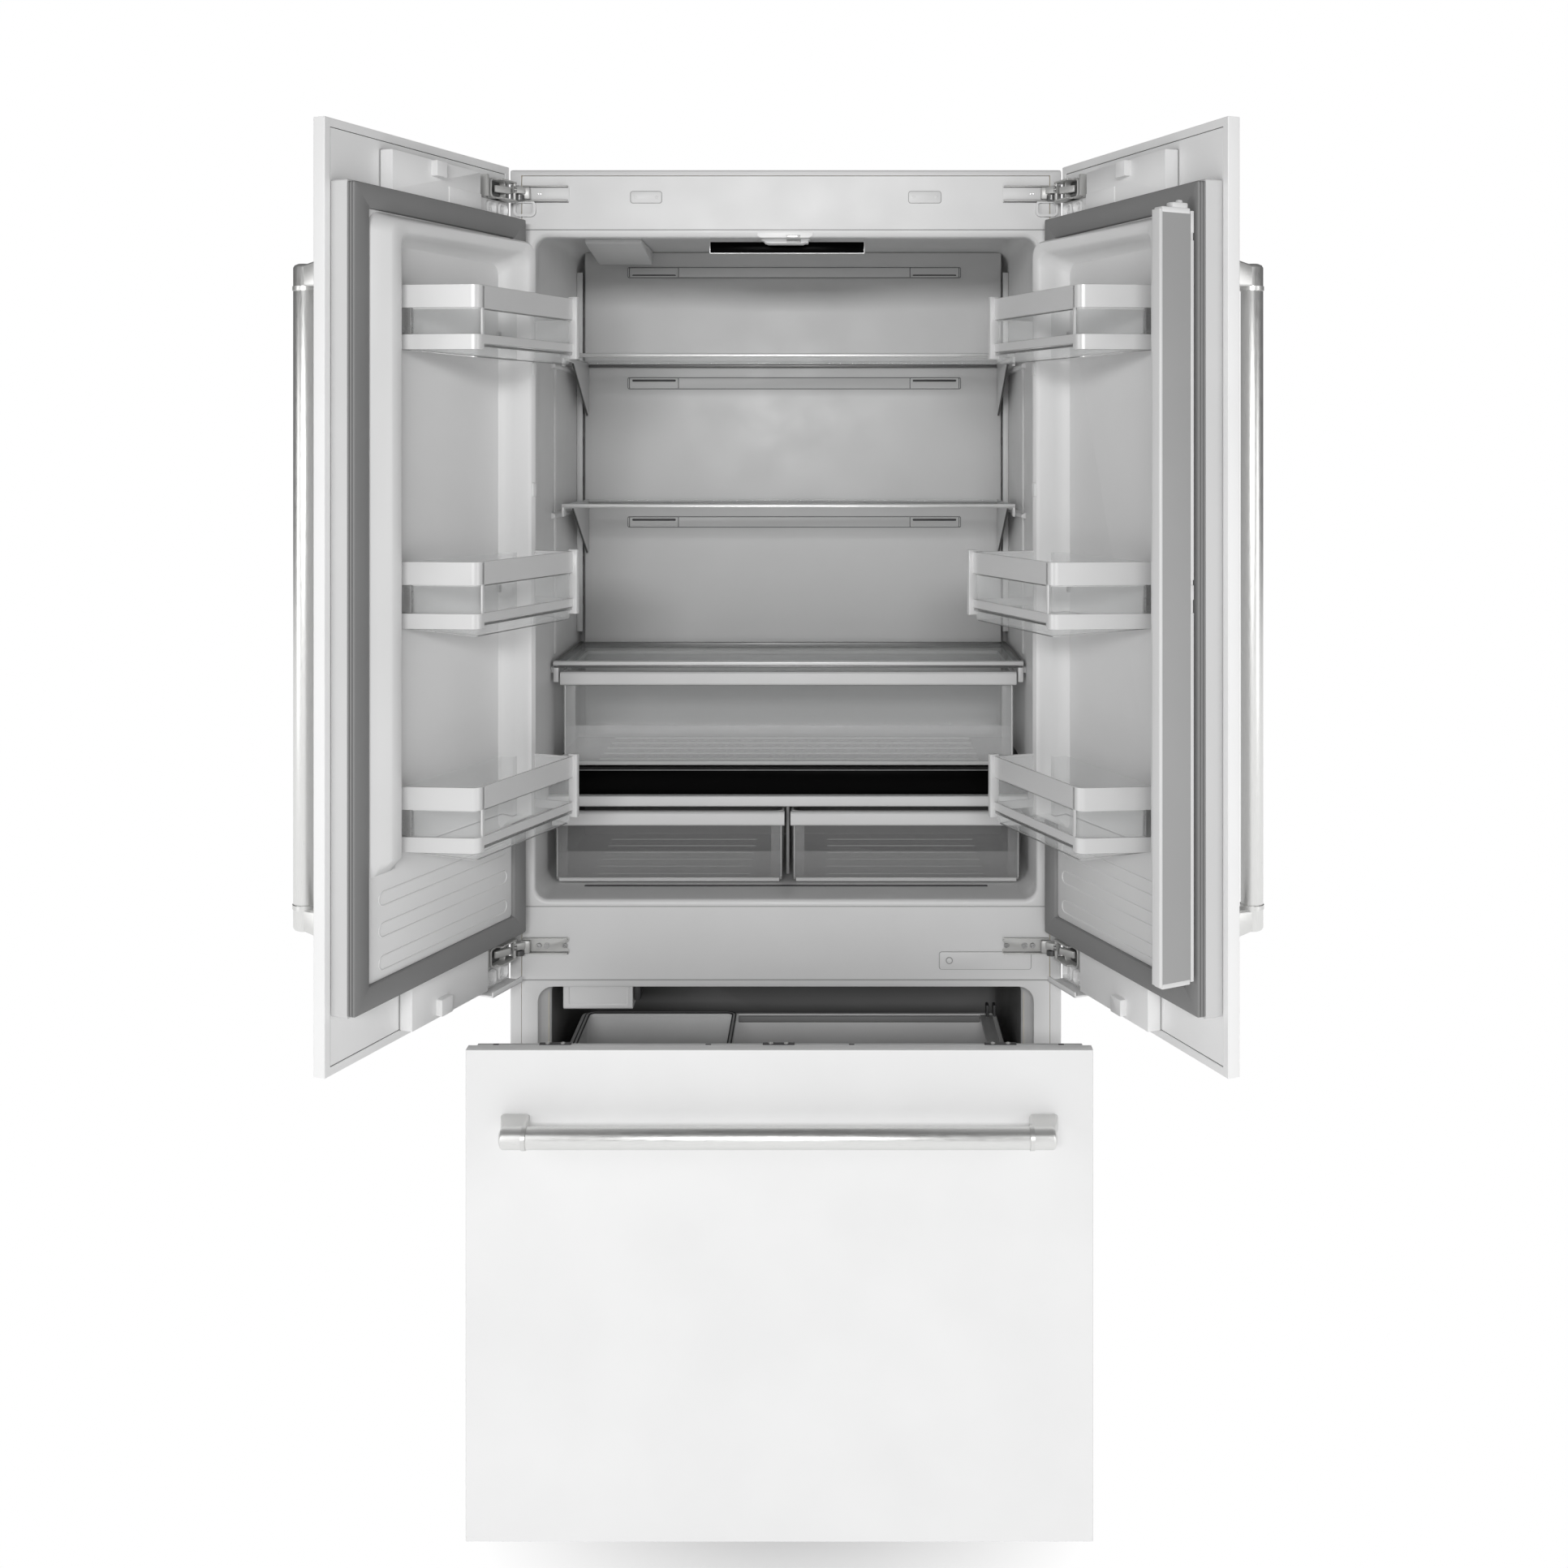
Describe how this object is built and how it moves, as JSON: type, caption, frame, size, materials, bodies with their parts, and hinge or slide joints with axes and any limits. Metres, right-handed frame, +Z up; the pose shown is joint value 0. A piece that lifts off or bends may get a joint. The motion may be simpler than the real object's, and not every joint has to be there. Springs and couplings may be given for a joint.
{
  "type": "french door refrigerator",
  "caption": "Built-in refrigerator with a pair of hinged doors that carry bins, glass shelves, crisper drawers and a pull-out freezer drawer below.",
  "frame": {"origin": "on the floor, under the middle of the whole object's box with its doors and drawer open", "axes": "+Z up, +Y to the cabinet's back, +X to the right seen from the front"},
  "size_m": [1.3656, 1.0034, 2.13],
  "materials": {
    "white_panel": "satin",
    "frame_grey": "satin",
    "door_foam": "satin",
    "liner_white": "satin",
    "gasket_grey": "matte",
    "flipper_grey": "matte",
    "brushed_steel": "satin",
    "hinge_nickel": "polished",
    "bin_silver": "satin",
    "clear_plastic": "gloss",
    "shelf_glass": "gloss",
    "black_gloss": "gloss",
    "basket_white": "satin",
    "rail_steel": "satin",
    "dark_grey": "matte",
    "foam": "matte",
    "steel_dark": "matte"
  },
  "bodies": {
    "root": {"cabinet_shell": "frame_grey", "insulation_foam": "foam", "fridge_liner": "liner_white", "freezer_liner": "liner_white", "top_fascia": "frame_grey", "middle_rail": "frame_grey", "base_frame": "steel_dark", "toe_grille": "dark_grey", "compressor": "steel_dark", "air_panel": "liner_white", "sensor_box": "liner_white", "display_panel": "black_gloss", "mullion_guide": "liner_white", "ice_maker": "basket_white", "crisper_shelf": "shelf_glass", "crisper_cover": "black_gloss", "upper_shelf": "shelf_glass", "middle_shelf": "shelf_glass", "left_shelf_standard": "dark_grey", "right_shelf_standard": "dark_grey", "left_freezer_rail": "rail_steel", "right_freezer_rail": "rail_steel", "left_front_foot": "steel_dark", "left_rear_foot": "steel_dark", "right_front_foot": "steel_dark", "right_rear_foot": "steel_dark", "left_upper_hinge_arm": "hinge_nickel", "left_lower_hinge_arm": "hinge_nickel", "right_upper_hinge_arm": "hinge_nickel", "right_lower_hinge_arm": "hinge_nickel"},
    "left_door": {"left_door_panel": "white_panel", "left_door_body": "door_foam", "left_door_gasket": "gasket_grey", "left_door_liner": "liner_white", "left_door_handle": "brushed_steel", "left_upper_bin": "bin_silver", "left_middle_bin": "bin_silver", "left_lower_bin": "bin_silver", "left_upper_hinge_cup": "hinge_nickel", "left_lower_hinge_cup": "hinge_nickel"},
    "right_door": {"right_door_panel": "white_panel", "right_door_body": "door_foam", "right_door_gasket": "gasket_grey", "right_door_liner": "liner_white", "right_door_handle": "brushed_steel", "right_upper_bin": "bin_silver", "right_middle_bin": "bin_silver", "right_lower_bin": "bin_silver", "right_upper_hinge_cup": "hinge_nickel", "right_lower_hinge_cup": "hinge_nickel"},
    "flipper": {"mullion_flipper": "flipper_grey"},
    "freezer_drawer": {"freezer_drawer_panel": "white_panel", "freezer_drawer_body": "door_foam", "freezer_drawer_gasket": "gasket_grey", "freezer_drawer_handle": "brushed_steel", "freezer_basket": "basket_white", "ice_bin": "clear_plastic"},
    "wide_drawer": {"wide_drawer": "clear_plastic"},
    "left_crisper": {"left_crisper": "clear_plastic"},
    "right_crisper": {"right_crisper": "clear_plastic"}
  },
  "joints": [
    {"name": "left_door_hinge", "type": "hinge", "parent": "root", "child": "left_door", "pos_m": [-0.43517, -0.08057, 1.47925], "axis": [0, 0, 1], "range_deg": [0, 112]},
    {"name": "right_door_hinge", "type": "hinge", "parent": "root", "child": "right_door", "pos_m": [0.43517, -0.08057, 1.47925], "axis": [0, 0, -1], "range_deg": [0, 112]},
    {"name": "flipper_hinge", "type": "hinge", "parent": "right_door", "child": "flipper", "pos_m": [0.56476, -0.47275, 1.475], "axis": [0, 0, 1], "range_deg": [0, 85]},
    {"name": "freezer_slide", "type": "slide", "parent": "root", "child": "freezer_drawer", "axis": [0, 1, 0], "range_m": [-0.24, 0.2365]},
    {"name": "wide_drawer_slide", "type": "slide", "parent": "root", "child": "wide_drawer", "axis": [0, 1, 0], "range_m": [-0.2, 0]},
    {"name": "left_crisper_slide", "type": "slide", "parent": "root", "child": "left_crisper", "axis": [0, 1, 0], "range_m": [-0.22, 0]},
    {"name": "right_crisper_slide", "type": "slide", "parent": "root", "child": "right_crisper", "axis": [0, 1, 0], "range_m": [-0.22, 0]}
  ]
}
